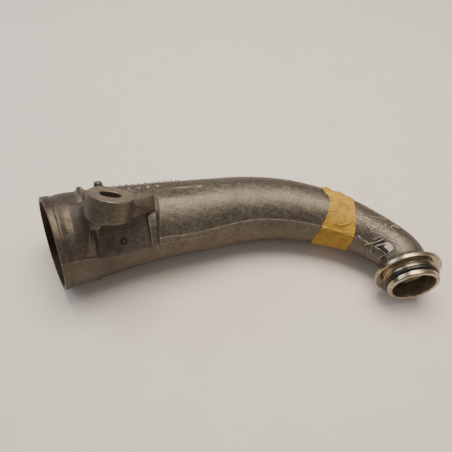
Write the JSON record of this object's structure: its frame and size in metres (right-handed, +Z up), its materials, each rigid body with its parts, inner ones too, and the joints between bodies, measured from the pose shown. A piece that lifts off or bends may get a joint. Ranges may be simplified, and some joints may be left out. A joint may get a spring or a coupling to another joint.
{
  "type": "pipe elbow",
  "caption": "Cast aluminium elbow that tapers from a wide plain end to a turned O-ring spigot with a flange, with a slotted lug and tape round the bend.",
  "frame": {"origin": "middle of the elbow's box, on the surface that it lies on", "axes": "+Z up as the elbow lies; +X along the elbow from its large end towards its spigot; the spigot opens towards -Y"},
  "size_m": [0.4152, 0.1338, 0.1314],
  "materials": {
    "cast_aluminium": "as-cast grain, warm grey",
    "turned_aluminium": "turned, bright",
    "black_rubber": "satin moulded",
    "tan_paper_tape": "creped paper, matte",
    "clear_film_tape": "clear glossy film"
  },
  "bodies": {
    "root": {"pipe_casting": "cast_aluminium", "spigot_sleeve": "turned_aluminium", "o_ring": "black_rubber", "paper_tape": "tan_paper_tape", "film_tape": "clear_film_tape"}
  },
  "joints": []
}
